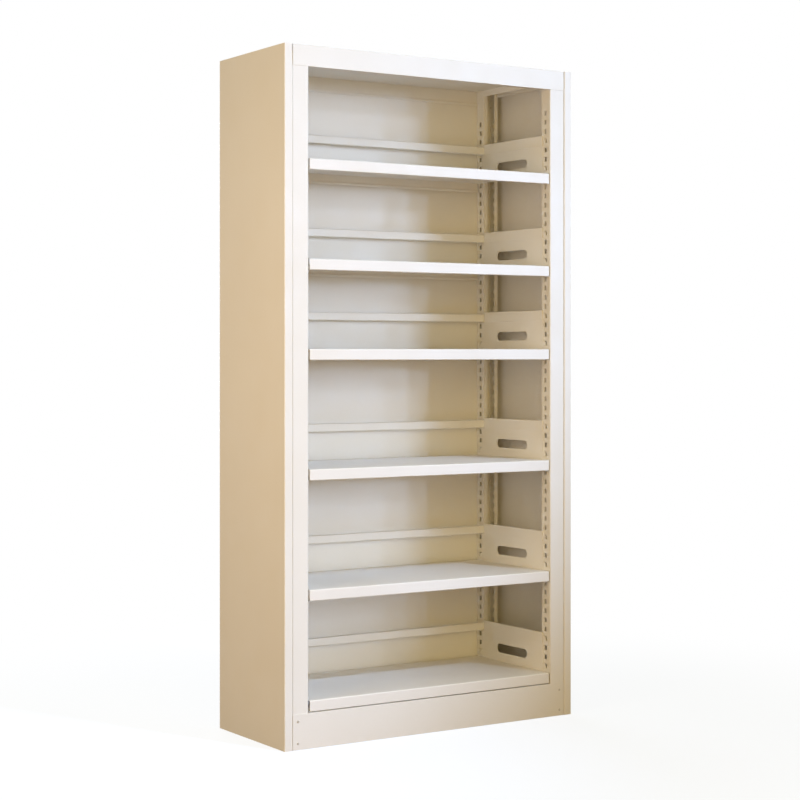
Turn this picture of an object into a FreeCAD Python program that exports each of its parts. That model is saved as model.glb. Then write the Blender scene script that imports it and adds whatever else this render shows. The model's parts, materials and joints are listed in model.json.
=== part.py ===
import FreeCAD, Part
import math
import os
import Sketcher

# Steel library bookcase: folded sheet cabinet, slotted posts and six shelves hung on hook plates.
# The frame stands on the floor at z = 0, with x to the viewer's right, y to the back and z up.

SIZES = {
    # Overall
    "overall_width": 1020,
    "overall_depth": 400,
    "overall_height": 2000,
    # Sheet metal
    "panel_sheet": 1.0,
    "board_sheet": 1.0,
    "post_sheet": 1.5,
    "plate_sheet": 1.5,
    "bend_radius": 2.5,
    "post_bend": 4,
    "fold_radius": 1.5,
    "fit_gap": 0.5,
    "seam_gap": 2,
    # Side panels
    "side_panel_width": 26,
    "side_lip": 12,
    # Posts and their hook slots
    "post_face": 54,
    "post_depth": 42,
    "post_lip": 13,
    "slot_width": 11,
    "slot_height": 14,
    "slot_pitch": 28.6,
    "slot_setback": 22,
    "slot_top_margin": 105,
    # End rails
    "rail_height": 20,
    "base_rail_top": 55,
    # Fascia, plinth and back panel, set back from the side panels by a screw head
    "cover_setback": 1.5,
    "fascia_height": 60,
    "top_rim": 20,
    "rim_width": 6,
    "rear_flange": 47,
    "plinth_height": 101,
    "plinth_gap": 2.5,
    "cover_return": 20,
    "back_floor_gap": 4,
    "back_top_fold": 12,
    # Shelf boards
    "board_front_gap": 3,
    "board_rear_gap": 12,
    "board_end_gap": 2,
    "shelf_lip": 32,
    "lip_return": 14,
    "lip_upturn": 10,
    "hem_depth": 5,
    "hem_height": 8.5,
    # Hook plates
    "plate_rise": 121,
    "plate_lap": 6.5,
    "plate_flange": 25,
    "flange_relief": 12,
    "hook_gap": 0.2,
    "hook_drop": 18,
    "hook_tab": 12,
    "hook_neck": 6,
    "hook_tooth": 3,
    "tooth_drop": 6,
    "hand_slot_length": 160,
    "hand_slot_height": 28,
    "hand_slot_rise": 42,
    # Stop bars
    "bar_height": 25,
    "bar_depth": 10,
    "bar_rise": 89,
    # Screws
    "screw_head": 8,
    "screw_shank": 4,
    "screw_length": 8,
    "screw_inset": 19,
    "plinth_screw_rise": 18,
    "plinth_screw_spacing": 62,
    "back_screw_margin": 100,
    "side_screw_margin": 70,
    "side_screw_inset": 9,
    "top_screw_spacing": 200,
}

# Where each shelf hangs, as a share of the row of slots, from the lowest shelf up
SHELF_SHARES = {
    "first_share": 0,
    "second_share": 0.183,
    "third_share": 0.383,
    "fourth_share": 0.583,
    "fifth_share": 0.733,
    "sixth_share": 0.9,
}

BACK_SCREWS_PER_POST = 4
SIDE_SCREWS_PER_POST = 2
SCREW_FLATS = 6
FRONT, REAR = -1, 1
LEFT, RIGHT = -1, 1

doc = FreeCAD.newDocument("library_bookcase")
sheet = doc.addObject("Spreadsheet::Sheet", "Sizes")
for row, (name, number) in enumerate({**SIZES, **SHELF_SHARES}.items(), start=1):
    sheet.set(f"A{row}", name)
    sheet.set(f"B{row}", str(number))
    sheet.setAlias(f"B{row}", name)
doc.recompute()

# Distances from the middle of the bookcase, shared by the pieces that meet there
HALF_WIDTH = "(Sizes.overall_width / 2)"
HALF_DEPTH = "(Sizes.overall_depth / 2)"
POST_OUTER = f"({HALF_WIDTH} - Sizes.side_panel_width)"
POST_INNER = f"({POST_OUTER} - Sizes.post_face)"
COVER_FACE = f"({HALF_DEPTH} - Sizes.cover_setback)"
POST_WEB = f"({COVER_FACE} - Sizes.panel_sheet)"
POST_EDGE = f"({POST_WEB} - Sizes.post_depth)"
SLOT_LINE = f"({POST_WEB} - Sizes.slot_setback)"
COVER_END = f"({POST_OUTER} - Sizes.seam_gap)"
BETWEEN_POSTS = f"({POST_INNER} - Sizes.fit_gap)"
PLATE_OUT = f"({POST_INNER} - Sizes.hook_gap)"
PLATE_IN = f"({PLATE_OUT} - Sizes.plate_sheet)"
PLATE_END = f"({POST_EDGE} + Sizes.plate_lap)"

# Heights above the floor
DECK_TOP = "(Sizes.overall_height - Sizes.top_rim)"
POST_TOP = f"({DECK_TOP} - Sizes.panel_sheet)"
FIRST_SLOT = "(Sizes.plinth_height + Sizes.plinth_gap + Sizes.shelf_lip + Sizes.hook_drop)"
SLOT_STEPS = f"floor(({POST_TOP} - Sizes.slot_top_margin - {FIRST_SLOT}) / Sizes.slot_pitch)"

# Heights above a shelf's own surface
PLATE_FOOT = "(-Sizes.board_sheet - Sizes.plate_sheet)"
HOOK_STEPS = "floor((Sizes.plate_rise - Sizes.hook_drop - Sizes.hook_tab) / Sizes.slot_pitch)"
LOWER_HOOK = "Sizes.hook_drop"
UPPER_HOOK = f"({LOWER_HOOK} + {HOOK_STEPS} * Sizes.slot_pitch)"


def amount(expression):
    """The number that an expression on the sheet comes to."""
    return float(sheet.evalExpression(expression))


def shelf_level(share):
    """Height of a shelf's surface, which hangs from whole slots."""
    return f"{FIRST_SLOT} + round(Sizes.{share} * {SLOT_STEPS}) * Sizes.slot_pitch - Sizes.hook_drop"


def new_body(label, level=None):
    """An empty body, raised to a shelf's level if one is given."""
    body = doc.addObject("PartDesign::Body", label)
    body.Label = label
    if level:
        body.setExpression("Placement.Base.z", level)
    return body


def origin_item(body, role):
    """One of a body's own origin planes or axes."""
    return next(item for item in body.Origin.OriginFeatures if item.Role == role)


def new_sketch(body, role, offset=None):
    """A sketch on one of the body's origin planes, moved along its normal by an expression."""
    sketch = body.newObject("Sketcher::SketchObject", f"{body.Name}_sketch")
    sketch.AttachmentSupport = (origin_item(body, role), [""])
    sketch.MapMode = "FlatFace"
    if offset:
        sketch.setExpression("AttachmentOffset.Base.z", offset)
    return sketch


def pin_point(sketch, geometry, point, place):
    """Ties one point of a sketch to a pair of expressions."""
    for kind, text in zip(("DistanceX", "DistanceY"), place):
        number = sketch.addConstraint(Sketcher.Constraint(kind, -1, 1, geometry, point, amount(text)))
        sketch.setExpression(f"Constraints[{number}]", text)


def draw_outline(sketch, corners):
    """A closed outline of straight lines through corners given as pairs of expressions."""
    first = sketch.GeometryCount
    points = [FreeCAD.Vector(amount(across), amount(up), 0) for across, up in corners]
    count = len(points)
    for index in range(count):
        sketch.addGeometry(Part.LineSegment(points[index], points[(index + 1) % count]), False)
    for index in range(count):
        following = first + (index + 1) % count
        sketch.addConstraint(Sketcher.Constraint("Coincident", first + index, 2, following, 1))
    for index, place in enumerate(corners):
        pin_point(sketch, first + index, 1, place)


def rectangle(left, right, low, high):
    """Corners of a rectangle from four expressions."""
    return [(left, low), (right, low), (right, high), (left, high)]


def draw_obround(sketch, rise, length, height):
    """A slot with round ends, centred across the sketch at a given rise."""
    first = sketch.GeometryCount
    radius = amount(height) / 2
    reach = f"(({length} - {height}) / 2)"
    centre = amount(rise)
    across = amount(reach)
    up = FreeCAD.Vector(0, 0, 1)
    quarter = math.pi / 2
    for side, start in ((RIGHT, -quarter), (LEFT, quarter)):
        circle = Part.Circle(FreeCAD.Vector(side * across, centre, 0), up, radius)
        sketch.addGeometry(Part.ArcOfCircle(circle, start, start + 2 * quarter), False)
    for side in (RIGHT, LEFT):
        ends = [FreeCAD.Vector(sign * across, centre + side * radius, 0) for sign in (side, -side)]
        sketch.addGeometry(Part.LineSegment(*ends), False)
    for arc, line in ((0, 2), (2, 1), (1, 3), (3, 0)):
        sketch.addConstraint(Sketcher.Constraint("Tangent", first + arc, 2, first + line, 1))
    for arc, side in ((first, RIGHT), (first + 1, LEFT)):
        pin_point(sketch, arc, 3, (f"{side} * {reach}", rise))
    number = sketch.addConstraint(Sketcher.Constraint("Radius", first, radius))
    sketch.setExpression(f"Constraints[{number}]", f"{height} / 2")


def draw_hexagon(sketch, centre, flats):
    """A hexagon about a centre, from its width across the flats."""
    across, up = centre
    corners = []
    for index in range(SCREW_FLATS):
        angle = f"{index * 360 / SCREW_FLATS} deg"
        reach = f"({flats} / 2 / cos({180 / SCREW_FLATS} deg))"
        corners.append((f"{across} + {reach} * cos({angle})", f"{up} + {reach} * sin({angle})"))
    draw_outline(sketch, corners)


def add_pad(body, sketch, length, centred=False, backwards=False):
    """Pads a sketch along its normal, against it, or to both sides of its plane."""
    pad = body.newObject("PartDesign::Pad", f"{body.Name}_pad")
    pad.Profile = sketch
    pad.Midplane = centred
    pad.Reversed = backwards
    pad.setExpression("Length", length)
    return pad


def cut_pocket(body, sketch, length):
    """Cuts a sketch to both sides of its plane, half of the length each way."""
    pocket = body.newObject("PartDesign::Pocket", f"{body.Name}_pocket")
    pocket.Profile = sketch
    pocket.Midplane = True
    pocket.setExpression("Length", length)
    return pocket


def edges_through(shape, axis, places):
    """Names of the straight edges that run along an axis through the given points."""
    others = [index for index in range(3) if index != axis]
    names = []
    for number, edge in enumerate(shape.Edges, start=1):
        start, end = (vertex.Point for vertex in (edge.Vertexes[0], edge.Vertexes[-1]))
        for place in places:
            if all(abs(start[i] - p) < 1e-4 and abs(end[i] - p) < 1e-4 for i, p in zip(others, place)):
                names.append(f"Edge{number}")
    return names


def add_fillet(body, base, names, radius):
    """Rounds named edges of a feature."""
    fillet = body.newObject("PartDesign::Fillet", f"{body.Name}_bend")
    fillet.Base = (base, names)
    fillet.setExpression("Radius", radius)
    return fillet


def round_folds(body, base, axis, corners, radius):
    """Rounds the folds of a sheet that run along an axis through the given corners."""
    doc.recompute()
    places = [(amount(first), amount(second)) for first, second in corners]
    return add_fillet(body, base, edges_through(base.Shape, axis, places), radius)


def pattern_along(body, originals, role, length, occurrences):
    """Repeats features along one of the body's axes."""
    pattern = body.newObject("PartDesign::LinearPattern", f"{body.Name}_pattern")
    pattern.Originals = originals
    pattern.Direction = (origin_item(body, role), [""])
    pattern.setExpression("Length", length)
    pattern.setExpression("Occurrences", occurrences)
    body.Tip = pattern
    return pattern


def mirror_about(body, originals, role):
    """Mirrors features in one of the body's origin planes."""
    mirrored = body.newObject("PartDesign::Mirrored", f"{body.Name}_mirror")
    mirrored.Originals = originals
    mirrored.MirrorPlane = (origin_item(body, role), [""])
    body.Tip = mirrored
    return mirrored


def make_post(label, side, end):
    """A lipped channel, its web to the outside of the bookcase, punched with a row of hook slots."""
    body = new_body(label)
    outer, inner = f"{side} * {POST_OUTER}", f"{side} * {POST_INNER}"
    sheet_in, lip_in = f"{side} * Sizes.post_sheet", f"{side} * Sizes.post_lip"
    web, edge = f"{end} * {POST_WEB}", f"{end} * {POST_EDGE}"
    web_in, lip_up = f"{web} - {end} * Sizes.post_sheet", f"{edge} + {end} * Sizes.post_sheet"
    wall_in, wall_out = f"{inner} + {sheet_in}", f"{outer} - {sheet_in}"
    section = new_sketch(body, "XY_Plane")
    draw_outline(section, [
        (outer, web), (inner, web), (inner, edge), (f"{inner} + {lip_in}", edge),
        (f"{inner} + {lip_in}", lip_up), (wall_in, lip_up), (wall_in, web_in), (wall_out, web_in),
        (wall_out, lip_up), (f"{outer} - {lip_in}", lip_up), (f"{outer} - {lip_in}", edge), (outer, edge)])
    channel = add_pad(body, section, POST_TOP)
    round_folds(body, channel, 2, [(outer, web), (inner, web)], "Sizes.post_bend")
    # The rear posts are punched through both flanges, the front ones through the inner flange
    middle = f"{side} * ({POST_INNER} + Sizes.post_sheet / 2)"
    through = "4 * Sizes.post_sheet"
    if end == REAR:
        middle = f"{side} * ({POST_INNER} + {POST_OUTER}) / 2"
        through = "Sizes.post_face + 2 * Sizes.post_sheet"
    slot = new_sketch(body, "YZ_Plane", middle)
    line = f"{end} * {SLOT_LINE}"
    half_width, half_height = "Sizes.slot_width / 2", "Sizes.slot_height / 2"
    draw_outline(slot, rectangle(f"{line} - {half_width}", f"{line} + {half_width}",
                                 f"{FIRST_SLOT} - {half_height}", f"{FIRST_SLOT} + {half_height}"))
    punched = cut_pocket(body, slot, through)
    pattern_along(body, [punched], "Z_Axis", f"{SLOT_STEPS} * Sizes.slot_pitch", f"{SLOT_STEPS} + 1")
    return body


def make_side_panel(label, side):
    """A folded tray: the outer sheet, a return on every edge, and lips that lie against the posts."""
    body = new_body(label)
    face, open_side = f"{side} * {HALF_WIDTH}", f"{side} * {POST_OUTER}"
    block_sketch = new_sketch(body, "XY_Plane")
    draw_outline(block_sketch, rectangle(open_side, face, f"-{HALF_DEPTH}", HALF_DEPTH))
    block = add_pad(body, block_sketch, "Sizes.overall_height")
    rounded = round_folds(body, block, 2, [(face, f"-{HALF_DEPTH}"), (face, HALF_DEPTH)], "Sizes.bend_radius")
    doc.recompute()
    inner = amount(open_side)
    open_face = next(f"Face{number}" for number, item in enumerate(rounded.Shape.Faces, start=1)
                     if abs(item.BoundBox.XMin - inner) < 1e-4 and abs(item.BoundBox.XMax - inner) < 1e-4)
    tray = body.newObject("PartDesign::Thickness", f"{body.Name}_tray")
    tray.Base = (rounded, [open_face])
    tray.Reversed = True
    tray.setExpression("Value", "Sizes.panel_sheet")
    lips = new_sketch(body, "XY_Plane", "Sizes.panel_sheet")
    for end in (FRONT, REAR):
        draw_outline(lips, rectangle(open_side, f"{open_side} + {side} * Sizes.panel_sheet",
                                     f"{end} * ({HALF_DEPTH} - Sizes.side_lip)",
                                     f"{end} * ({HALF_DEPTH} - Sizes.panel_sheet)"))
    add_pad(body, lips, "Sizes.overall_height - 2 * Sizes.panel_sheet")
    return body


def make_end_rail(label, side, top):
    """An inverted channel that ties the front post to the rear post."""
    body = new_body(label)
    outer, inner = f"{side} * {POST_OUTER}", f"{side} * {POST_INNER}"
    wall = f"{side} * Sizes.post_sheet"
    foot, under = f"{top} - Sizes.rail_height", f"{top} - Sizes.post_sheet"
    section = new_sketch(body, "XZ_Plane")
    draw_outline(section, [
        (outer, foot), (outer, top), (inner, top), (inner, foot),
        (f"{inner} + {wall}", foot), (f"{inner} + {wall}", under),
        (f"{outer} - {wall}", under), (f"{outer} - {wall}", foot)])
    add_pad(body, section, f"2 * {POST_EDGE}", centred=True)
    return body


def make_top_cover():
    """Fascia, hollow rim and recessed deck in one folded sheet, with a hemmed flange at the back."""
    body = new_body("top_cover")
    face, sheet_in = f"-{COVER_FACE}", "Sizes.panel_sheet"
    top, foot = "Sizes.overall_height", "Sizes.overall_height - Sizes.fascia_height"
    rim = f"{face} + Sizes.rim_width"
    back = f"{POST_WEB} - Sizes.fit_gap"
    section = new_sketch(body, "YZ_Plane")
    draw_outline(section, [
        (face, foot), (face, top), (rim, top), (rim, DECK_TOP), (back, DECK_TOP), (back, POST_TOP),
        (f"{rim} - {sheet_in}", POST_TOP), (f"{rim} - {sheet_in}", f"{top} - {sheet_in}"),
        (f"{face} + {sheet_in}", f"{top} - {sheet_in}"), (f"{face} + {sheet_in}", foot)])
    add_pad(body, section, f"2 * {COVER_END}", centred=True)
    # Between the posts: the fascia's bottom return and the rear flange with its turned-up hem
    between = new_sketch(body, "YZ_Plane")
    draw_outline(between, rectangle(f"{face} + {sheet_in}", f"{face} + Sizes.cover_return",
                                    foot, f"{foot} + {sheet_in}"))
    low = f"{POST_TOP} - Sizes.rear_flange"
    hem = f"{back} - Sizes.hem_depth"
    draw_outline(between, [
        (back, POST_TOP), (back, low), (hem, low), (hem, f"{low} + Sizes.hem_height"),
        (f"{hem} + {sheet_in}", f"{low} + Sizes.hem_height"), (f"{hem} + {sheet_in}", f"{low} + {sheet_in}"),
        (f"{back} - {sheet_in}", f"{low} + {sheet_in}"), (f"{back} - {sheet_in}", POST_TOP)])
    add_pad(body, between, f"2 * {BETWEEN_POSTS}", centred=True)
    # Upstands at the two ends, beside the side panels
    upstands = new_sketch(body, "XY_Plane", DECK_TOP)
    for side in (LEFT, RIGHT):
        draw_outline(upstands, rectangle(f"{side} * {COVER_END}", f"{side} * ({COVER_END} - {sheet_in})",
                                         rim, back))
    add_pad(body, upstands, f"Sizes.top_rim - {sheet_in}")
    return body


def make_plinth():
    """The kick plate across the front, lapped over the feet of the posts, folded back top and bottom."""
    body = new_body("plinth")
    face, inner = f"-{COVER_FACE}", f"-{POST_WEB}"
    sheet_in, top = "Sizes.panel_sheet", "Sizes.plinth_height"
    front = new_sketch(body, "YZ_Plane")
    draw_outline(front, rectangle(face, inner, "0", top))
    add_pad(body, front, f"2 * {COVER_END}", centred=True)
    folds = new_sketch(body, "YZ_Plane")
    for low in ("0", f"{top} - {sheet_in}"):
        draw_outline(folds, rectangle(inner, f"{face} + Sizes.cover_return", low, f"{low} + {sheet_in}"))
    add_pad(body, folds, f"2 * {BETWEEN_POSTS}", centred=True)
    return body


def make_back_panel():
    """The back sheet over the rear posts, folded forward along the top."""
    body = new_body("back_panel")
    face, inner, top = COVER_FACE, POST_WEB, "Sizes.overall_height"
    fold = f"{face} - Sizes.back_top_fold"
    section = new_sketch(body, "YZ_Plane")
    draw_outline(section, [
        (face, "Sizes.back_floor_gap"), (face, top), (fold, top), (fold, f"{top} - Sizes.panel_sheet"),
        (inner, f"{top} - Sizes.panel_sheet"), (inner, "Sizes.back_floor_gap")])
    add_pad(body, section, f"2 * {COVER_END}", centred=True)
    return body


def make_shelf_board(label, level):
    """A folded board: boxed lip at the front, flange with a turned-up hem at the back."""
    body = new_body(label, level)
    thick = "Sizes.board_sheet"
    front, rear = f"-{HALF_DEPTH} + Sizes.board_front_gap", f"{HALF_DEPTH} - Sizes.board_rear_gap"
    low, floor_in = "-Sizes.shelf_lip", f"-Sizes.shelf_lip + {thick}"
    box, hem = f"{front} + Sizes.lip_return", f"{rear} - Sizes.hem_depth"
    upturn, hem_top = f"{low} + Sizes.lip_upturn", f"{low} + Sizes.hem_height"
    section = new_sketch(body, "YZ_Plane")
    draw_outline(section, [
        (box, upturn), (box, low), (front, low), (front, "0"), (rear, "0"), (rear, low), (hem, low),
        (hem, hem_top), (f"{hem} + {thick}", hem_top), (f"{hem} + {thick}", floor_in),
        (f"{rear} - {thick}", floor_in), (f"{rear} - {thick}", f"-{thick}"),
        (f"{front} + {thick}", f"-{thick}"), (f"{front} + {thick}", floor_in),
        (f"{box} - {thick}", floor_in), (f"{box} - {thick}", upturn)])
    board = add_pad(body, section, f"2 * ({PLATE_IN} - Sizes.board_end_gap)", centred=True)
    round_folds(body, board, 0, [(front, "0")], "Sizes.fold_radius")
    return body


def make_hook_plate(label, side, level):
    """A shelf's end plate: hand slot, hemmed top, ledge for the board, and hooks for the post slots."""
    body = new_body(label, level)
    middle = f"{side} * ({PLATE_OUT} + {PLATE_IN}) / 2"
    tab_end = f"({SLOT_LINE} + Sizes.plate_sheet / 2)"
    tab_foot = [f"{hook} - Sizes.slot_height / 2" for hook in (LOWER_HOOK, UPPER_HOOK)]
    rear_edge = [(PLATE_END, PLATE_FOOT)]
    for foot in tab_foot:
        head = f"{foot} + Sizes.hook_tab"
        rear_edge += [(PLATE_END, foot), (tab_end, foot), (tab_end, head), (PLATE_END, head)]
    rear_edge.append((PLATE_END, "Sizes.plate_rise"))
    front_edge = [(f"-{across}", up) for across, up in reversed(rear_edge)]
    blank = new_sketch(body, "YZ_Plane", middle)
    draw_outline(blank, rear_edge + front_edge)
    draw_obround(blank, "Sizes.hand_slot_rise", "Sizes.hand_slot_length", "Sizes.hand_slot_height")
    add_pad(body, blank, "Sizes.plate_sheet", centred=True)
    # The top edge is hemmed: turned down flat on the inner face, as far back as the stop bar
    hem = new_sketch(body, "YZ_Plane", f"{side} * ({PLATE_IN} - Sizes.plate_sheet / 2)")
    draw_outline(hem, rectangle(f"-{PLATE_END}", f"{PLATE_END} - Sizes.bar_depth - Sizes.fit_gap",
                                "Sizes.bar_rise", "Sizes.plate_rise"))
    add_pad(body, hem, "Sizes.plate_sheet", centred=True)
    # The ledge under the board, bent inwards
    ledge = new_sketch(body, "XY_Plane", PLATE_FOOT)
    reach = f"({PLATE_END} - Sizes.flange_relief)"
    draw_outline(ledge, rectangle(f"{side} * ({PLATE_OUT} - Sizes.plate_flange)", f"{side} * {PLATE_OUT}",
                                  f"-{reach}", reach))
    add_pad(body, ledge, "Sizes.plate_sheet")
    # Two hooks at the back, bent out through the slots, and the same two at the front
    hooks = new_sketch(body, "XZ_Plane", f"-{SLOT_LINE}")
    flange_back = f"{side} * ({POST_INNER} + Sizes.post_sheet + Sizes.fit_gap)"
    tip = f"{flange_back} + {side} * Sizes.hook_tooth"
    for foot in tab_foot:
        neck, point = f"{foot} + Sizes.hook_neck", f"{foot} - Sizes.tooth_drop"
        draw_outline(hooks, [(f"{side} * {PLATE_IN}", foot), (flange_back, foot), (flange_back, point),
                             (tip, point), (tip, neck), (f"{side} * {PLATE_IN}", neck)])
    rear_hooks = add_pad(body, hooks, "Sizes.plate_sheet", centred=True)
    mirror_about(body, [rear_hooks], "XZ_Plane")
    return body


def make_stop_bar(label, level):
    """The book stop: a channel open to the back, its ends against the hook plates."""
    body = new_body(label, level)
    thick = "Sizes.board_sheet"
    rear, front = PLATE_END, f"{PLATE_END} - Sizes.bar_depth"
    low, high = "Sizes.bar_rise", "Sizes.bar_rise + Sizes.bar_height"
    section = new_sketch(body, "YZ_Plane")
    draw_outline(section, [
        (front, low), (front, high), (rear, high), (rear, f"{high} - {thick}"),
        (f"{front} + {thick}", f"{high} - {thick}"), (f"{front} + {thick}", f"{low} + {thick}"),
        (rear, f"{low} + {thick}"), (rear, low)])
    add_pad(body, section, f"2 * {PLATE_IN}", centred=True)
    return body


def spread(margin, count):
    """Heights of screws spread evenly between two margins from floor and top."""
    span = f"(Sizes.overall_height - 2 * {margin})"
    return [f"{margin} + {index} * {span} / {count - 1}" for index in range(count)]


def make_screws(label, seats):
    """A group of hexagon screws; each seat is a plane, its offset, which way heads point, and places."""
    body = new_body(label)
    for role, offset, heads_backwards, places in seats:
        for flats, length, backwards in (("Sizes.screw_head", "Sizes.cover_setback", heads_backwards),
                                         ("Sizes.screw_shank", "Sizes.screw_length", not heads_backwards)):
            sketch = new_sketch(body, role, offset)
            for place in places:
                draw_hexagon(sketch, place, flats)
            add_pad(body, sketch, length, backwards=backwards)
    return body


def make_all_screws():
    """The four groups of screws that hold the covers to the posts and rails."""
    post_middles = [f"{side} * ({POST_OUTER} - Sizes.screw_inset)" for side in (LEFT, RIGHT)]
    plinth_rises = ["Sizes.plinth_screw_rise", "Sizes.plinth_screw_rise + Sizes.plinth_screw_spacing"]
    back_rises = spread("Sizes.back_screw_margin", BACK_SCREWS_PER_POST)
    side_rises = spread("Sizes.side_screw_margin", SIDE_SCREWS_PER_POST)
    lip_lines = [f"{end} * ({HALF_DEPTH} - Sizes.side_screw_inset)" for end in (FRONT, REAR)]
    deck_lines = [f"{end} * Sizes.top_screw_spacing / 2" for end in (FRONT, REAR)]
    rail_middles = [f"{side} * ({POST_OUTER} + {POST_INNER}) / 2" for side in (LEFT, RIGHT)]
    side_seats = [("YZ_Plane", f"{side} * ({POST_OUTER} - Sizes.post_sheet)", side == RIGHT,
                   [(y, z) for y in lip_lines for z in side_rises]) for side in (LEFT, RIGHT)]
    return [
        make_screws("plinth_screws", [("XZ_Plane", COVER_FACE, False,
                                       [(x, z) for x in post_middles for z in plinth_rises])]),
        make_screws("back_panel_screws", [("XZ_Plane", f"-{COVER_FACE}", True,
                                           [(x, z) for x in post_middles for z in back_rises])]),
        make_screws("side_panel_screws", side_seats),
        make_screws("top_cover_screws", [("XY_Plane", DECK_TOP, False,
                                          [(x, y) for x in rail_middles for y in deck_lines])]),
    ]


pieces = []
for end, end_name in ((FRONT, "front"), (REAR, "rear")):
    for side, side_name in ((LEFT, "left"), (RIGHT, "right")):
        pieces.append(make_post(f"post_{end_name}_{side_name}", side, end))
for side, side_name in ((LEFT, "left"), (RIGHT, "right")):
    pieces.append(make_side_panel(f"side_panel_{side_name}", side))
    pieces.append(make_end_rail(f"top_rail_{side_name}", side, POST_TOP))
    pieces.append(make_end_rail(f"base_rail_{side_name}", side, "Sizes.base_rail_top"))
pieces += [make_top_cover(), make_plinth(), make_back_panel()]
pieces += make_all_screws()
for number, share in enumerate(SHELF_SHARES, start=1):
    level = shelf_level(share)
    pieces.append(make_shelf_board(f"shelf_board_{number}", level))
    pieces.append(make_hook_plate(f"hook_plate_left_{number}", LEFT, level))
    pieces.append(make_hook_plate(f"hook_plate_right_{number}", RIGHT, level))
    pieces.append(make_stop_bar(f"stop_bar_{number}", level))
doc.recompute()

failed = [item.Label for item in doc.Objects if "Invalid" in item.State or "Error" in item.State]
failed += [item.Label for item in pieces if item.Shape.isNull() or not item.Shape.isValid()]
if failed:
    raise RuntimeError("These pieces did not build: " + ", ".join(failed))

os.makedirs("parts", exist_ok=True)
for item in pieces:
    item.Shape.exportStep(f"parts/{item.Label}.step")
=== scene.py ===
"""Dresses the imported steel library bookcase: folded sheet, screws, powder coat and the studio."""

import json
import math

import bmesh
import bpy
from mathutils import Matrix, Vector


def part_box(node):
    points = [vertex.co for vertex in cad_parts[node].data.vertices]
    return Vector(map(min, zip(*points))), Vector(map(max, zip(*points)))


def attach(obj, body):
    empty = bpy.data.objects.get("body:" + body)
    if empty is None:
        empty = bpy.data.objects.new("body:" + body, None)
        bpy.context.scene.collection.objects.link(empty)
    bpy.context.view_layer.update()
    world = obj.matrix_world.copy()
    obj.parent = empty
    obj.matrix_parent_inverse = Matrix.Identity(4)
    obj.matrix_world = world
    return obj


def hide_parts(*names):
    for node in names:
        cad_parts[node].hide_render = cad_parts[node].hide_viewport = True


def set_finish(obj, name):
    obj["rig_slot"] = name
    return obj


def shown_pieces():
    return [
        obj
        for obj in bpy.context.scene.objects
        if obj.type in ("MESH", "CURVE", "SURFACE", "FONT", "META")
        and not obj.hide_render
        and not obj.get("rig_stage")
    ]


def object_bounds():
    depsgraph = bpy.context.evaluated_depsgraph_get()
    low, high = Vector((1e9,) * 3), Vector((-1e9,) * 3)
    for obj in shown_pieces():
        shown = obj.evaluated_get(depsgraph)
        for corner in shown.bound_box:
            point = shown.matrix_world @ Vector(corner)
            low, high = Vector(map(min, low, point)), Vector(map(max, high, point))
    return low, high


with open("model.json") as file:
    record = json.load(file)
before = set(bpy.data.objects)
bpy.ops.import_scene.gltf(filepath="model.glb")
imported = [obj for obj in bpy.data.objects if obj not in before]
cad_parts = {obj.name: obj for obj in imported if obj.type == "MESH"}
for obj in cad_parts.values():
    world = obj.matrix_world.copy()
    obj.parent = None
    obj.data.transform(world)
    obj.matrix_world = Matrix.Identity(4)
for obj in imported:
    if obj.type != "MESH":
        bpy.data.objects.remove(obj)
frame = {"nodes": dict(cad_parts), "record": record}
CAD_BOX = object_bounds()

bl_info = {
    "name": "Steel Library Bookcase",
    "version": (1, 0, 0),
    "blender": (4, 5, 0),
    "location": "View3D > Sidebar > Bookcase",
    "description": "Folded sheet, fasteners, finishes and studio for a steel bookcase with hung shelves",
    "category": "Object",
}

MM = 0.001
BODIES = frame["record"]["behaviour"]["bodies"]
BODY_OF_NODE = {node: body for body, nodes in BODIES.items() for node in nodes}
SLOT_OF_NODE = {part["node"]: part["material_slot"] for part in frame["record"]["subparts"]}

# Two points closer than this are one point
SAME = 0.002 * MM
# Faces that meet at less than the first angle are one flat face, at more than the second a square edge
FLAT = math.radians(1)
SQUARE = math.radians(60)
# Flat pieces to a quarter turn of a fold, and to an eased edge
FOLD_STEPS = 6
EASE_STEPS = 2
# Radius of a rolled hem as a share of its depth, and how many gauges its edge ends before its flange's back
HEM_ROLL = 0.48
HEM_END = 1.5
SIDE_PANELS = ("side_panel_left", "side_panel_right")

# Which way the heads of each group of screws point; the side screws point to the middle of the bookcase
SCREW_HEADS = {
    "plinth_screws": Vector((0, -1, 0)),
    "back_panel_screws": Vector((0, 1, 0)),
    "top_cover_screws": Vector((0, 0, 1)),
    "side_panel_screws": None,
}
# Flat pieces round a screw, and the turn from one recess to the next
SCREW_STEPS = 24
SCREW_SLANT = math.radians(37)
# A thread's root as a share of its width, a ridge's flank as one of the pitch, and the ridges of the point
THREAD_ROOT = 0.72
THREAD_FLANK = 0.3
POINT_RIDGES = 3
# Where the dome of a head has corners, in degrees, the power that makes it full, and its crown as a share
DOME_CORNERS = (14, 28, 42, 55, 66)
DOME_POWER = 0.6
HEAD_CROWN = 0.6
# Floor of a cross recess as a share of its mouth
RECESS_TAPER = 0.7

# Widths of the patterns in the coat, and of the brush marks in the screws' enamel
DRIFT_WIDTH = 320 * MM
GRAIN_WIDTH = 6 * MM
GLOSS_WIDTH = 60 * MM
WAVE_WIDTH = 450 * MM
BRUSH_WIDTH = 3 * MM
# The most that drifts and grain take of the deeper tone, and the span of the coat's roughness
DRIFT_MOST = 0.35
GRAIN_MOST = 0.10
COAT_ROUGHNESS = (0.40, 0.50)
# Height of the sheet's slight waves and of the coat's peel, and the strength of each
WAVE_HEIGHT = 2.0 * MM
WAVE_STRENGTH = 0.5
PEEL_HEIGHT = 0.15 * MM
PEEL_STRENGTH = 0.25
COAT_IOR = 1.5
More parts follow.
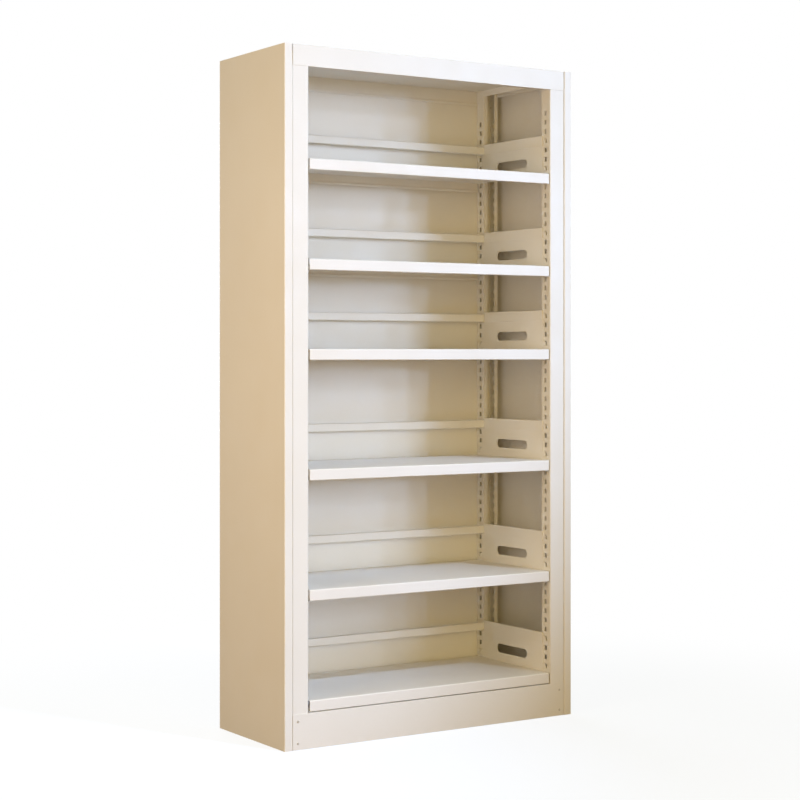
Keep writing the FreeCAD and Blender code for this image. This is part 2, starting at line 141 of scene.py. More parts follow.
# How bare the thinnest enamel leaves a screw, and the enamel's roughness
BARE_MOST = 0.8
ENAMEL_ROUGHNESS = 0.45
# The part of its noise over which each pattern goes from none to its most
DRIFT_SPAN = {"From Min": 0.35, "From Max": 0.7}
GRAIN_SPAN = GLOSS_SPAN = {"From Min": 0.3, "From Max": 0.7}
BARE_SPAN = {"From Min": 0.58, "From Max": 0.66}
# A Mix node's sockets for two colours and for the mixed one
FIRST, SECOND, MIXED = 6, 7, 2

WHITE = (1, 1, 1, 1)
# Half the floor's width, and the distances from its middle between which its shadow fades out
FLOOR_HALF = 20
SHADOW_FADE = (0.9, 2.2)
# How brightly the floor glows round the bookcase, how dimly under it as painted shade, and the strip from the
# one to the other
NEAR_GLOW = 0.84
PAINTED_SHADE_GLOW = 0.04
PAINTED_SHADE_EDGE = 3 * MM

# The key lamps: height and turn to the right as seen from the front, in degrees, and share of the power
KEY_LAMPS = ((3, 36, 0.11), (5, 28, 0.11), (7, 44, 0.11), (12, 32, 0.11), (40, 20, 0.56))
KEY_DISTANCE = 12.0
KEY_RADIUS = 0.35
FRONT_MIDDLE = Vector((0, -0.2, 1.0))
# The beams are aimed at the top left, so that their soft lower right edge crosses the plinth
KEY_AIM = Vector((-1.22, -0.41, 1.79))
KEY_CONE = math.radians(20.3)
KEY_BLEND = 0.076
# The soft lamps: place, target and width
FRONT_LAMP = ((-1.5, -4.5, 1.2), (0, 0, 1), 3.0)
SIDE_LAMP = ((-2.3, -0.8, 1.4), (-0.5, 0, 1.1), 1.0)
BACK_LAMP = ((1.0, 4.4, 1.8), (0, 0.2, 1), 2.4)
SENSOR_WIDTH = 36
FAR_CLIP = 100


def linear(code):
    """An sRGB hex colour as linear red, green, blue and full alpha."""
    values = [int(code[index:index + 2], 16) / 255 for index in (1, 3, 5)]
    straight = [v / 12.92 if v <= 0.04045 else ((v + 0.055) / 1.055) ** 2.4 for v in values]
    return (*straight, 1.0)


def length(name, description, millimetres):
    """A length property, given in millimetres."""
    return bpy.props.FloatProperty(name=name, description=description, default=millimetres * MM, min=0,
                                   subtype="DISTANCE", unit="LENGTH", precision=4)


def colour(name, description, code):
    """A colour property, given as an sRGB hex value."""
    return bpy.props.FloatVectorProperty(name=name, description=description, default=linear(code), size=4,
                                         min=0, max=1, subtype="COLOR")


def power(name, description, watts):
    """A property for a lamp's power."""
    return bpy.props.FloatProperty(name=name, description=description, default=watts, min=0,
                                   subtype="POWER", unit="POWER")


class SheetSettings(bpy.types.PropertyGroup):
    """Gauge and folds of the sheet metal."""

    gauge: length("Gauge", "Thickness of the shelf boards, stop bars and rolled hems", 1.0)
    fold_radius: length("Fold radius", "Outside radius of most folds", 2.0)
    lip_radius: length("Lip radius", "Outside radius of the fold along a board's front edge", 3.5)
    bar_radius: length("Bar radius", "Outside radius of the folds of a stop bar", 3.0)
    lip_return: length("Lip return", "How far a board's front lip is folded back underneath", 14.0)
    lip_upturn: length("Lip upturn", "How far that return is turned up again", 10.0)
    hem_depth: length("Hem depth", "Depth of the roll along a board's or the top cover's rear flange", 5.0)
    hem_height: length("Hem height", "Height of that roll", 8.5)
    seam_radius: length("Seam radius", "Outside radius of the side panels' folds beside the posts", 3.0)
    plate_hem: length("Plate hem", "Outside radius of the folded hem along a hook plate's top", 1.2)
    hem_least: length("Least hem", "Shorter edges than this aren't part of a hook plate's hem", 100.0)
    edge_ease: length("Edge ease", "How far square cut edges are broken", 0.3)


class ScrewSettings(bpy.types.PropertyGroup):
    """Shape of the self-tapping screws."""

    head_width: length("Head width", "Diameter of a pan head", 8.0)
    head_height: length("Head height", "Height of a pan head", 1.5)
    shank_length: length("Shank length", "Length under the head", 8.0)
    shank_width: length("Shank width", "Diameter over the thread", 4.0)
    thread_pitch: length("Thread pitch", "Distance from ridge to ridge of the thread", 1.4)
    recess_span: length("Recess span", "Length of the cross recess from tip to tip", 3.8)
    recess_width: length("Recess width", "Width of an arm of the cross recess", 0.9)
    recess_depth: length("Recess depth", "Depth of the cross recess", 0.9)


class CoatSettings(bpy.types.PropertyGroup):
    """Colours and surface of the powder coat and of the screws."""

    frame_colour: colour("Frame colour", "Powder coat of the posts, panels and covers", "#F0ECE3")
    shelf_colour: colour("Shelf colour", "Powder coat of the boards, hook plates and stop bars", "#F1EDE5")
    tone_shift: colour("Tone shift", "Slightly deeper tone that the coat drifts towards in places", "#E7E0D2")
    screw_colour: colour("Screw colour", "Touch-up enamel on the screw heads", "#DDD6C8")
    zinc_colour: colour("Zinc colour", "Zinc plating where a screw is bare", "#A9A7A0")
    peel_size: length("Peel size", "Width of one dimple of the coat's orange peel", 4.0)


class StudioSettings(bpy.types.PropertyGroup):
    """Camera, light and floor."""

    camera_place: bpy.props.FloatVectorProperty(
        name="Camera place", description="Where the camera stands", subtype="XYZ", unit="LENGTH",
        default=(-3.059, -4.771, 1.123))
    camera_turn: bpy.props.FloatProperty(
        name="Camera turn", description="How far the camera is turned right of straight at the shelves",
        subtype="ANGLE", default=math.radians(32.71))
    lens: bpy.props.FloatProperty(
        name="Lens", description="Focal length on a 36 mm sensor, in millimetres", default=83.4, min=10)
    rise: bpy.props.FloatProperty(
        name="Rise", description="Vertical shift of the lens as a share of the picture", default=-0.058)
    key_power: power("Key power", "Power of the key lamps together", 6100)
    key_colour: colour("Key colour", "Daylight from a tall window at the front right", "#BCD6FF")
    front_power: power("Front power", "Power of the soft lamp in front", 56)
    front_colour: colour("Front colour", "Warm light from the room in front", "#FFDB83")
    side_power: power("Side power", "Power of the soft lamp at the left", 19)
    side_colour: colour("Side colour", "Light on the left side", "#FFE6CC")
    back_power: power("Back power", "Power of the soft lamp behind", 120)
    back_colour: colour("Back colour", "Light on the back", "#E8EEFF")
    room_strength: bpy.props.FloatProperty(
        name="Room strength", description="Strength of the light from all round", default=0.42, min=0)
    room_colour: colour("Room colour", "Warm light from all round", "#FFF1C0")
    floor_colour: colour("Floor colour", "Wooden floor as the object sees it", "#7E5430")
    shade_colour: colour("Shade colour", "Paint that takes the bookcase's shadow on the floor", "#757D8A")


def nodes_named(start):
    """CAD nodes whose names start alike, in order."""
    return sorted(name for name in frame["nodes"] if name.startswith(start))


def add_piece(shape, name, node):
    """Makes a finished bmesh the piece that stands for a CAD node, on its body and in its slot."""
    mesh = bpy.data.meshes.new(name)
    shape.to_mesh(mesh)
    shape.free()
    piece = bpy.data.objects.new(name, mesh)
    bpy.context.scene.collection.objects.link(piece)
    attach(piece, BODY_OF_NODE[node])
    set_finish(piece, SLOT_OF_NODE[node])
    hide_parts(node)


def each_once(items):
    """The items without repeats, in the order in which they come."""
    return list(dict.fromkeys(items))


def round_edges(shape, edges, radius, steps):
    """Rounds edges of a bmesh with an arc."""
    bmesh.ops.bevel(shape, geom=edges, offset=radius, offset_type="OFFSET", segments=steps, profile=0.5,
                    affect="EDGES", material=-1, clamp_overlap=True)


def edges_along(shape, axis, place):
    """Edges that run along an axis through a place given by its other two coordinates."""
    others = [index for index in range(3) if index != axis]

    def on_line(vert):
        return all(abs(vert.co[index] - number) < SAME for index, number in zip(others, place))

    return [edge for edge in shape.edges if all(on_line(vert) for vert in edge.verts)]


def ease_edges(shape, radius):
    """Breaks the square outer edges of a closed sheet, as deburring and the coat do."""
    shape.normal_update()
    square = [edge for edge in shape.edges if edge.is_manifold and edge.calc_face_angle_signed() > SQUARE]
    round_edges(shape, square, radius, EASE_STEPS)


def folded_sheet(chain, radii, left, right, gauge):
    """Sheet folded along X, its outer skin a chain of (y, z) corners with the inside on the right hand."""
    shape = bmesh.new()
    line = [shape.verts.new((left, y, z)) for y, z in chain]
    edges = [shape.edges.new(pair) for pair in zip(line, line[1:])]
    pulled = bmesh.ops.extrude_edge_only(shape, edges=edges)["geom"]
    ends = [item for item in pulled if isinstance(item, bmesh.types.BMVert)]
    bmesh.ops.translate(shape, verts=ends, vec=(right - left, 0, 0))
    for place, radius in zip(chain[1:-1], radii):
        round_edges(shape, edges_along(shape, 0, place), radius, FOLD_STEPS)
    shape.normal_update()
    bmesh.ops.solidify(shape, geom=shape.faces[:], thickness=gauge)
    bmesh.ops.recalc_face_normals(shape, faces=shape.faces[:])
    return shape


def sheet_copy(node):
    """A closed copy of a CAD node with each flat face whole."""
    shape = bmesh.new()
    shape.from_mesh(frame["nodes"][node].data)
    bmesh.ops.remove_doubles(shape, verts=shape.verts[:], dist=SAME)
    bmesh.ops.dissolve_limit(shape, angle_limit=FLAT, verts=shape.verts[:], edges=shape.edges[:])
    return shape


def hemmed_flange(sheet, back, top, foot):
    """Corners of a flange that hangs from top to foot, its lower edge rolled forward, up and back again."""
    hem, curl = back - sheet.hem_depth, foot + sheet.hem_height
    return [(back, top), (back, foot), (hem, foot), (hem, curl), (back - HEM_END * sheet.gauge, curl)]


def join(shape, other):
    """Moves one bmesh into another."""
    mesh = bpy.data.meshes.new("joined")
    other.to_mesh(mesh)
    other.free()
    shape.from_mesh(mesh)
    bpy.data.meshes.remove(mesh)


class BOOKCASE_OT_shelf_boards(bpy.types.Operator):
    """Folds the shelf boards: boxed front lip with a soft fold, rolled rear hem"""

    bl_idname = "bookcase.shelf_boards"
    bl_label = "Fold Shelf Boards"

    def execute(self, context):
        sheet = context.scene.bookcase_sheet
        for node in nodes_named("shelf_board"):
            low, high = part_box(node)
            box = low.y + sheet.lip_return
            chain = [(box, low.z + sheet.lip_upturn), (box, low.z), (low.y, low.z), (low.y, high.z)]
            radii = [sheet.fold_radius, sheet.fold_radius, sheet.lip_radius, sheet.fold_radius]
            chain += hemmed_flange(sheet, high.y, high.z, low.z)
            radii += [HEM_ROLL * sheet.hem_depth] * 3
            shape = folded_sheet(chain, radii, low.x, high.x, sheet.gauge)
            ease_edges(shape, sheet.edge_ease)
            add_piece(shape, f"{node}_folded", node)
        return {"FINISHED"}


class BOOKCASE_OT_stop_bars(bpy.types.Operator):
    """Folds the stop bars: channels open to the back with round front edges"""

    bl_idname = "bookcase.stop_bars"
    bl_label = "Fold Stop Bars"

    def execute(self, context):
        sheet = context.scene.bookcase_sheet
        for node in nodes_named("stop_bar"):
            low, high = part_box(node)
            chain = [(high.y, low.z), (low.y, low.z), (low.y, high.z), (high.y, high.z)]
            shape = folded_sheet(chain, [sheet.bar_radius] * 2, low.x, high.x, sheet.gauge)
            ease_edges(shape, sheet.edge_ease)
            add_piece(shape, f"{node}_folded", node)
        return {"FINISHED"}


class BOOKCASE_OT_hook_plates(bpy.types.Operator):
    """Softens the hook plates: round hem along the top, eased hand slots and hooks"""

    bl_idname = "bookcase.hook_plates"
    bl_label = "Soften Hook Plates"

    def execute(self, context):
        sheet = context.scene.bookcase_sheet
        for node in nodes_named("hook_plate"):
            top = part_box(node)[1].z
            shape = sheet_copy(node)
            hem = [edge for edge in shape.edges if edge.calc_length() > sheet.hem_least
                   and all(abs(vert.co.z - top) < SAME for vert in edge.verts)]
            round_edges(shape, hem, sheet.plate_hem, FOLD_STEPS)
            ease_edges(shape, sheet.edge_ease)
            add_piece(shape, f"{node}_softened", node)
        return {"FINISHED"}


class BOOKCASE_OT_covers(bpy.types.Operator):
    """Finishes the top cover, plinth and back panel: round top folds, rolled hem, eased edges"""

    bl_idname = "bookcase.covers"
    bl_label = "Round Covers"

    def execute(self, context):
        sheet = context.scene.bookcase_sheet
        for node in ("top_cover", "plinth", "back_panel"):
            low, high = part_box(node)
            shape = sheet_copy(node)
            if node == "top_cover":
                self.roll_hem(shape, sheet, low.z, high.y)
            if node != "plinth":
                outer = high.y if node == "back_panel" else low.y
                round_edges(shape, edges_along(shape, 0, (outer, high.z)), sheet.fold_radius, FOLD_STEPS)
            ease_edges(shape, sheet.edge_ease)
            add_piece(shape, f"{node}_rounded", node)
        return {"FINISHED"}

    def roll_hem(self, shape, sheet, foot, back):
        """Cuts the top cover's rear flange off under the deck and folds it anew, with a rolled hem."""
        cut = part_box("post_rear_left")[1].z - sheet.gauge
        low_rear = [vert for vert in shape.verts if vert.co.y > 0 and vert.co.z < cut]
        faces = each_once(face for vert in low_rear for face in vert.link_faces)
        edges = each_once(edge for face in faces for edge in face.edges)
        bmesh.ops.bisect_plane(shape, geom=[*faces, *edges], dist=SAME, plane_co=(0, 0, cut),
                               plane_no=(0, 0, 1))
        hung = [vert for vert in shape.verts if vert.co.y > 0 and vert.co.z < cut - SAME]
        left, right = (pick(vert.co.x for vert in hung) for pick in (min, max))
        bmesh.ops.delete(shape, geom=hung, context="VERTS")
        bmesh.ops.holes_fill(shape, edges=[edge for edge in shape.edges if edge.is_boundary])
        chain = hemmed_flange(sheet, back, cut, foot)
        join(shape, folded_sheet(chain, [HEM_ROLL * sheet.hem_depth] * 3, left, right, sheet.gauge))


class BOOKCASE_OT_side_panels(bpy.types.Operator):
    """Rounds the folds of the side panels beside the posts, the right panel as the mirror of the left"""

    bl_idname = "bookcase.side_panels"
    bl_label = "Round Side Panels"

    def execute(self, context):
        sheet = context.scene.bookcase_sheet
        left, right = SIDE_PANELS
        low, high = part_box(left)
        for node in SIDE_PANELS:
            shape = sheet_copy(left)
            for y in (low.y, high.y):
                round_edges(shape, edges_along(shape, 2, (high.x, y)), sheet.seam_radius, FOLD_STEPS)
            if node == right:
                bmesh.ops.scale(shape, vec=(-1, 1, 1), verts=shape.verts[:])
                bmesh.ops.recalc_face_normals(shape, faces=shape.faces[:])
            add_piece(shape, f"{node}_rounded", node)
        return {"FINISHED"}


class BOOKCASE_OT_posts(bpy.types.Operator):
    """Eases the edges of the posts, their hook slots and the end rails"""

    bl_idname = "bookcase.posts"
    bl_label = "Ease Posts"

    def execute(self, context):
        sheet = context.scene.bookcase_sheet
        for start in ("post_", "top_rail", "base_rail"):
            for node in nodes_named(start):
                shape = sheet_copy(node)
                ease_edges(shape, sheet.edge_ease)
                add_piece(shape, f"{node}_eased", node)
        return {"FINISHED"}


def cross_recess(shape, ring, screw):
    """Closes the ring of edges at the top of a head with a cross recess."""
    half, reach = screw.recess_width / 2, screw.recess_span / 2
    top = screw.head_height
    made = bmesh.ops.create_grid(shape, x_segments=1, y_segments=1, size=half,
                                 matrix=Matrix.Translation((0, 0, top)))["verts"]
    for edge in each_once(edge for vert in made for edge in vert.link_edges):
        outward = sum((vert.co for vert in edge.verts), Vector()) / 2
        outward.z = 0
        pulled = bmesh.ops.extrude_edge_only(shape, edges=[edge])["geom"]
        ends = [item for item in pulled if isinstance(item, bmesh.types.BMVert)]
        bmesh.ops.translate(shape, verts=ends, vec=outward.normalized() * (reach - half))
        made += ends
    faces = each_once(face for vert in made for face in vert.link_faces)
    rim = [edge for edge in each_once(edge for face in faces for edge in face.edges) if edge.is_boundary]
    bmesh.ops.bridge_loops(shape, edges=rim + ring)
    sunk = bmesh.ops.extrude_face_region(shape, geom=faces)["geom"]
    floor = [item for item in sunk if isinstance(item, bmesh.types.BMVert)]
    bmesh.ops.delete(shape, geom=faces, context="FACES")
    bmesh.ops.translate(shape, verts=floor, vec=(0, 0, -screw.recess_depth))
    bmesh.ops.scale(shape, verts=floor, vec=(RECESS_TAPER, RECESS_TAPER, 1))


def pan_screw(screw):
    """A self-tapping pan head screw that stands on the origin, head up."""
    shape = bmesh.new()
    head, core = screw.head_width / 2, screw.shank_width / 2
    chain = [(0, -screw.shank_length)]
    for ridge in range(int(screw.shank_length / screw.thread_pitch)):
        foot = -screw.shank_length + (ridge + 0.5) * screw.thread_pitch
        grow = min(1, (ridge + 1) / POINT_RIDGES)
        chain += [(core * THREAD_ROOT * grow, foot - THREAD_FLANK * screw.thread_pitch), (core * grow, foot)]
    chain += [(core * THREAD_ROOT, 0), (head, 0)]
    chain += [(head * math.cos(turn) ** DOME_POWER, screw.head_height * math.sin(turn))
              for turn in (math.radians(corner) for corner in DOME_CORNERS)]
    chain += [(head * HEAD_CROWN, screw.head_height)]
    verts = [shape.verts.new((radius, 0, height)) for radius, height in chain]
    edges = [shape.edges.new(pair) for pair in zip(verts, verts[1:])]
    bmesh.ops.spin(shape, geom=verts + edges, axis=(0, 0, 1), cent=(0, 0, 0), steps=SCREW_STEPS,
                   angle=2 * math.pi, use_merge=True)
    bmesh.ops.remove_doubles(shape, verts=shape.verts[:], dist=SAME)
    cross_recess(shape, [edge for edge in shape.edges if edge.is_boundary], screw)
    bmesh.ops.recalc_face_normals(shape, faces=shape.faces[:])
    return shape


def islands(shape):
    """The separate bodies of a bmesh, each as a list of its vertices."""
    found = set()
    for start in shape.verts:
        if start in found:
            continue
        found.add(start)
        body = [start]
        for vert in body:
            near = [edge.other_vert(vert) for edge in vert.link_edges]
            body += [other for other in near if other not in found]
            found.update(near)
        yield body


class BOOKCASE_OT_screws(bpy.types.Operator):
    """Sets a pan head screw with a cross recess on every seat"""

    bl_idname = "bookcase.screws"
    bl_label = "Drive Screws"

    def execute(self, context):
        screw = context.scene.bookcase_screw
        for node, heads in SCREW_HEADS.items():
            seats = sheet_copy(node)
            group = bmesh.new()
            for number, body in enumerate(islands(seats)):
                low = Vector(min(vert.co[axis] for vert in body) for axis in range(3))
                high = Vector(max(vert.co[axis] for vert in body) for axis in range(3))
                middle = (low + high) / 2
                way = heads or Vector((-math.copysign(1, middle.x), 0, 0))
                seat = middle + way * (abs((high - low).dot(way)) / 2 - screw.head_height)
                turn = way.to_track_quat("Z", "Y").to_matrix().to_4x4()
                slant = Matrix.Rotation(number * SCREW_SLANT, 4, "Z")
                single = pan_screw(screw)
                bmesh.ops.transform(single, matrix=Matrix.Translation(seat) @ turn @ slant,
                                    verts=single.verts[:])
                join(group, single)
            seats.free()
            add_piece(group, f"{node}_driven", node)
        return {"FINISHED"}


def add_node(tree, kind, inputs=None, **settings):
    """Adds a shader node, sets it up, and gives its inputs values or links."""
    node = tree.nodes.new(kind)
    for name, value in settings.items():
        setattr(node, name, value)
    for name, value in (inputs or {}).items():
        if isinstance(value, bpy.types.NodeSocket):
            tree.links.new(value, node.inputs[name])
        else:
            node.inputs[name].default_value = value
    return node


def new_material(name):
    """An empty node material and its tree."""
    material = bpy.data.materials.new(name)
    material.use_nodes = True
    material.node_tree.nodes.clear()
    return material, material.node_tree


def powder_coat(name, base, shift, peel_size):
    """Polyester powder baked on steel: a satin skin with a faint orange peel and slight drifts of tone."""
    material, tree = new_material(name)
    place = add_node(tree, "ShaderNodeTexCoord").outputs["Object"]
    # A noise of scale 1 / width has features about that wide
    drift = add_node(tree, "ShaderNodeTexNoise", {"Vector": place, "Scale": 1 / DRIFT_WIDTH, "Detail": 3.0})
    grain = add_node(tree, "ShaderNodeTexNoise", {"Vector": place, "Scale": 1 / GRAIN_WIDTH, "Detail": 2.0})
    drift_share = add_node(tree, "ShaderNodeMapRange", {
        "Value": drift.outputs["Fac"], **DRIFT_SPAN, "To Min": 0.0, "To Max": DRIFT_MOST})
    toned = add_node(tree, "ShaderNodeMix", {
        "Factor": drift_share.outputs["Result"], FIRST: base, SECOND: shift}, data_type="RGBA")
    grain_share = add_node(tree, "ShaderNodeMapRange", {
        "Value": grain.outputs["Fac"], **GRAIN_SPAN, "To Min": 0.0, "To Max": GRAIN_MOST})
    speckled = add_node(tree, "ShaderNodeMix", {
        "Factor": grain_share.outputs["Result"], FIRST: toned.outputs[MIXED], SECOND: shift},
        data_type="RGBA")
    gloss = add_node(tree, "ShaderNodeTexNoise", {"Vector": place, "Scale": 1 / GLOSS_WIDTH, "Detail": 2.0})
    smooth, rough = COAT_ROUGHNESS
    roughness = add_node(tree, "ShaderNodeMapRange", {
        "Value": gloss.outputs["Fac"], **GLOSS_SPAN, "To Min": smooth, "To Max": rough})
    # The real peel is about a millimetre wide, too fine to show, so it is drawn a few times coarser
    peel = add_node(tree, "ShaderNodeTexNoise", {"Vector": place, "Scale": 1 / peel_size, "Detail": 1.0})
    waves = add_node(tree, "ShaderNodeTexNoise", {"Vector": place, "Scale": 1 / WAVE_WIDTH, "Detail": 1.0})
    sheet_bump = add_node(tree, "ShaderNodeBump", {
        "Height": waves.outputs["Fac"], "Strength": WAVE_STRENGTH, "Distance": WAVE_HEIGHT})
    peel_bump = add_node(tree, "ShaderNodeBump", {
        "Height": peel.outputs["Fac"], "Strength": PEEL_STRENGTH, "Distance": PEEL_HEIGHT,
        "Normal": sheet_bump.outputs["Normal"]})
    coat = add_node(tree, "ShaderNodeBsdfPrincipled", {
        "Base Color": speckled.outputs[MIXED], "Roughness": roughness.outputs["Result"], "IOR": COAT_IOR,
        "Normal": peel_bump.outputs["Normal"]})
    add_node(tree, "ShaderNodeOutputMaterial", {"Surface": coat.outputs["BSDF"]})
    return material


def touched_up_zinc(name, enamel, zinc):
    """Zinc-plated screws brushed over with the sheet's enamel: where it is thin, the dull plating shows."""
    material, tree = new_material(name)
    place = add_node(tree, "ShaderNodeTexCoord").outputs["Object"]
    brush = add_node(tree, "ShaderNodeTexNoise", {"Vector": place, "Scale": 1 / BRUSH_WIDTH, "Detail": 3.0})
    bare = add_node(tree, "ShaderNodeMapRange", {
        "Value": brush.outputs["Fac"], **BARE_SPAN, "To Min": 0.0, "To Max": BARE_MOST})
    shade = add_node(tree, "ShaderNodeMix", {
        "Factor": bare.outputs["Result"], FIRST: enamel, SECOND: zinc}, data_type="RGBA")
    finish = add_node(tree, "ShaderNodeBsdfPrincipled", {
        "Base Color": shade.outputs[MIXED], "Metallic": bare.outputs["Result"],
        "Roughness": ENAMEL_ROUGHNESS})
    add_node(tree, "ShaderNodeOutputMaterial", {"Surface": finish.outputs["BSDF"]})
    return material


class BOOKCASE_OT_coat(bpy.types.Operator):
    """Coats every piece with the finish of its slot"""

    bl_idname = "bookcase.coat"
    bl_label = "Powder Coat"

    def execute(self, context):
        settings = context.scene.bookcase_coat
        coats = {
            "frame_coat": powder_coat("powder_coat_frame", settings.frame_colour, settings.tone_shift,
                                      settings.peel_size),
            "shelf_coat": powder_coat("powder_coat_shelf", settings.shelf_colour, settings.tone_shift,
                                      settings.peel_size),
            "screw_steel": touched_up_zinc("touched_up_zinc", settings.screw_colour, settings.zinc_colour),
        }
        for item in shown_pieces():
            slot = item.get("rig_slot") or SLOT_OF_NODE[item.name]
            item.data.materials.clear()
            item.data.materials.append(coats[slot])
        return {"FINISHED"}


def seen_rays(tree):
    """A socket that is 1 for rays that show a surface itself, and 0 for rays that only gather its light."""
    rays = add_node(tree, "ShaderNodeLightPath")
    seen = add_node(tree, "ShaderNodeMath", {
        0: rays.outputs["Is Camera Ray"], 1: rays.outputs["Is Glossy Ray"]}, operation="MAXIMUM")
    both = add_node(tree, "ShaderNodeMath", {
        0: seen.outputs["Value"], 1: rays.outputs["Is Transmission Ray"]}, operation="MAXIMUM")
    return both.outputs["Value"]


def floor_glow_and_painted_shade(tree, place):
    """A socket with the floor's glow: bright from the bookcase's outline on, dimmed under it as painted
    shade.
    """
    half = (CAD_BOX[1] - CAD_BOX[0]) / 2
    folded = add_node(tree, "ShaderNodeVectorMath", {0: place}, operation="ABSOLUTE")
    beyond = add_node(tree, "ShaderNodeVectorMath", {
        0: folded.outputs["Vector"], 1: half}, operation="SUBTRACT")
    apart = add_node(tree, "ShaderNodeSeparateXYZ", {"Vector": beyond.outputs["Vector"]})
    outside = add_node(tree, "ShaderNodeMath", {
        0: apart.outputs["X"], 1: apart.outputs["Y"]}, operation="MAXIMUM")
    # Inside the bookcase's outline the glow falls to its dim level: painted shade under the bookcase
    rise = add_node(tree, "ShaderNodeMapRange", {
        "Value": outside.outputs["Value"], "From Min": -PAINTED_SHADE_EDGE, "From Max": 0.0,
        "To Min": PAINTED_SHADE_GLOW, "To Max": NEAR_GLOW})
    return rise.outputs["Result"]


def floor_material(bounce_colour, shade_colour):
    """Seamless studio floor: white to the eye with a soft shadow and painted shade under the bookcase,
    wood-brown in the light it returns.
    """
    material, tree = new_material("studio_floor")
    place = add_node(tree, "ShaderNodeTexCoord").outputs["Object"]
    far = add_node(tree, "ShaderNodeVectorMath", {0: place}, operation="LENGTH")
    start, end = SHADOW_FADE
    fade = add_node(tree, "ShaderNodeMapRange", {
        "Value": far.outputs["Value"], "From Min": start, "From Max": end, "To Min": 0.0, "To Max": 1.0},
        interpolation_type="SMOOTHSTEP")
    white = add_node(tree, "ShaderNodeEmission", {"Color": WHITE, "Strength": 1.0})
    glow = add_node(tree, "ShaderNodeEmission", {"Color": WHITE, "Strength": floor_glow_and_painted_shade(tree, place)})
    paint = add_node(tree, "ShaderNodeBsdfDiffuse", {"Color": shade_colour})
    near = add_node(tree, "ShaderNodeAddShader", {0: glow.outputs["Emission"], 1: paint.outputs["BSDF"]})
    shown = add_node(tree, "ShaderNodeMixShader", {
        "Fac": fade.outputs["Result"], 1: near.outputs["Shader"], 2: white.outputs["Emission"]})
    bounce = add_node(tree, "ShaderNodeBsdfDiffuse", {"Color": bounce_colour})
    mixed = add_node(tree, "ShaderNodeMixShader", {
        "Fac": seen_rays(tree), 1: bounce.outputs["BSDF"], 2: shown.outputs["Shader"]})
    add_node(tree, "ShaderNodeOutputMaterial", {"Surface": mixed.outputs["Shader"]})
    return material


def room_world(room_colour, strength):
    """A world that lights warmly and shows white behind the object."""
    world = bpy.data.worlds.new("room")
    world.use_nodes = True
    tree = world.node_tree
    tree.nodes.clear()
    warm = add_node(tree, "ShaderNodeBackground", {"Color": room_colour, "Strength": strength})
    white = add_node(tree, "ShaderNodeBackground", {"Color": WHITE, "Strength": 1.0})
    mixed = add_node(tree, "ShaderNodeMixShader", {
        "Fac": seen_rays(tree), 1: warm.outputs["Background"], 2: white.outputs["Background"]})
    add_node(tree, "ShaderNodeOutputWorld", {"Surface": mixed.outputs["Shader"]})
    return world


def add_lamp(name, kind, watts, tint, place, target):
    """A lamp that shines from a place at a target."""
    light = bpy.data.lights.new(name, kind)
    light.energy = watts
    light.color = tint[:3]
    lamp = bpy.data.objects.new(name, light)
    lamp.location = place
    lamp.rotation_euler = (Vector(target) - Vector(place)).to_track_quat("-Z", "Y").to_euler()
    bpy.context.scene.collection.objects.link(lamp)
    return light


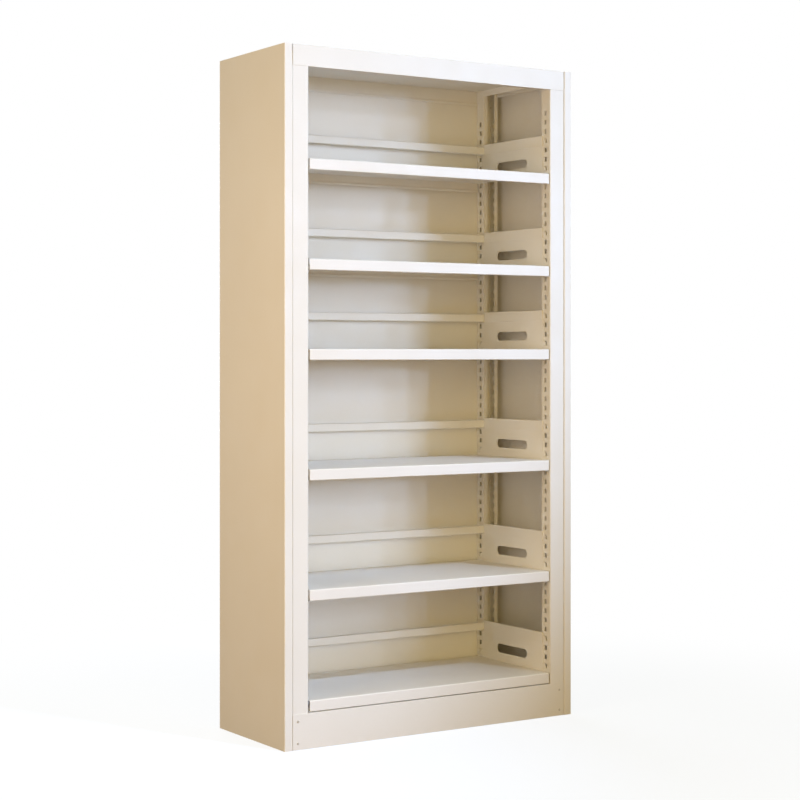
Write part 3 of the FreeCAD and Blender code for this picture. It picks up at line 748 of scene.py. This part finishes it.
class BOOKCASE_OT_stage(bpy.types.Operator):
    """Sets the floor, the light and the camera"""

    bl_idname = "bookcase.stage"
    bl_label = "Set Stage"

    def execute(self, context):
        studio = context.scene.bookcase_studio
        scene = context.scene
        scene.view_settings.view_transform = "Standard"
        self.lay_floor(scene, studio)
        scene.world = room_world(studio.room_colour, studio.room_strength)
        self.hang_lamps(studio)
        self.place_camera(scene, studio)
        return {"FINISHED"}

    def lay_floor(self, scene, studio):
        """A wide floor under the bookcase."""
        shape = bmesh.new()
        bmesh.ops.create_grid(shape, x_segments=1, y_segments=1, size=FLOOR_HALF)
        mesh = bpy.data.meshes.new("floor")
        shape.to_mesh(mesh)
        shape.free()
        mesh.materials.append(floor_material(studio.floor_colour, studio.shade_colour))
        floor = bpy.data.objects.new("floor", mesh)
        scene.collection.objects.link(floor)
        floor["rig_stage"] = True

    def hang_lamps(self, studio):
        """Key lamps one above the other, as a tall window gives, and soft lamps for the room."""
        up = Vector((0, 0, 1))
        for number, (lift, turn, share) in enumerate(KEY_LAMPS, start=1):
            lift, turn = math.radians(lift), math.radians(turn)
            level = Vector((math.sin(turn), -math.cos(turn), 0))
            reach = math.cos(lift) * level + math.sin(lift) * up
            light = add_lamp(f"key_{number}", "SPOT", share * studio.key_power, studio.key_colour,
                             FRONT_MIDDLE + KEY_DISTANCE * reach, KEY_AIM)
            light.shadow_soft_size = KEY_RADIUS
            light.spot_size = KEY_CONE
            light.spot_blend = KEY_BLEND
        for name, watts, tint, (place, target, width) in (
                ("front", studio.front_power, studio.front_colour, FRONT_LAMP),
                ("side", studio.side_power, studio.side_colour, SIDE_LAMP),
                ("back", studio.back_power, studio.back_colour, BACK_LAMP)):
            add_lamp(name, "AREA", watts, tint, place, target).size = width

    def place_camera(self, scene, studio):
        """The camera at the photograph's viewing angle, level, with its lens shifted down."""
        lens = bpy.data.cameras.new("camera")
        lens.lens = studio.lens
        lens.sensor_width = SENSOR_WIDTH
        lens.shift_y = studio.rise
        lens.clip_end = FAR_CLIP
        camera = bpy.data.objects.new("camera", lens)
        camera.location = studio.camera_place
        camera.rotation_euler = (math.pi / 2, 0, -studio.camera_turn)
        scene.collection.objects.link(camera)
        scene.camera = camera


STEPS = (
    BOOKCASE_OT_shelf_boards, BOOKCASE_OT_stop_bars, BOOKCASE_OT_hook_plates, BOOKCASE_OT_covers,
    BOOKCASE_OT_side_panels, BOOKCASE_OT_posts, BOOKCASE_OT_screws, BOOKCASE_OT_coat, BOOKCASE_OT_stage)


class BOOKCASE_PT_panel(bpy.types.Panel):
    """Lists the steps that dress the bookcase"""

    bl_idname = "BOOKCASE_PT_panel"
    bl_label = "Steel Library Bookcase"
    bl_space_type = "VIEW_3D"
    bl_region_type = "UI"
    bl_category = "Bookcase"

    def draw(self, context):
        for step in STEPS:
            self.layout.operator(step.bl_idname)


SETTINGS = {
    "bookcase_sheet": SheetSettings,
    "bookcase_screw": ScrewSettings,
    "bookcase_coat": CoatSettings,
    "bookcase_studio": StudioSettings,
}
CLASSES = (*SETTINGS.values(), *STEPS, BOOKCASE_PT_panel)


def register():
    for item in CLASSES:
        bpy.utils.register_class(item)
    for name, group in SETTINGS.items():
        setattr(bpy.types.Scene, name, bpy.props.PointerProperty(type=group))


def unregister():
    for name in SETTINGS:
        delattr(bpy.types.Scene, name)
    for item in reversed(CLASSES):
        bpy.utils.unregister_class(item)


def main():
    register()
    bpy.ops.bookcase.shelf_boards()
    bpy.ops.bookcase.stop_bars()
    bpy.ops.bookcase.hook_plates()
    bpy.ops.bookcase.covers()
    bpy.ops.bookcase.side_panels()
    bpy.ops.bookcase.posts()
    bpy.ops.bookcase.screws()
    bpy.ops.bookcase.coat()
    bpy.ops.bookcase.stage()


if __name__ == "__main__":
    main()
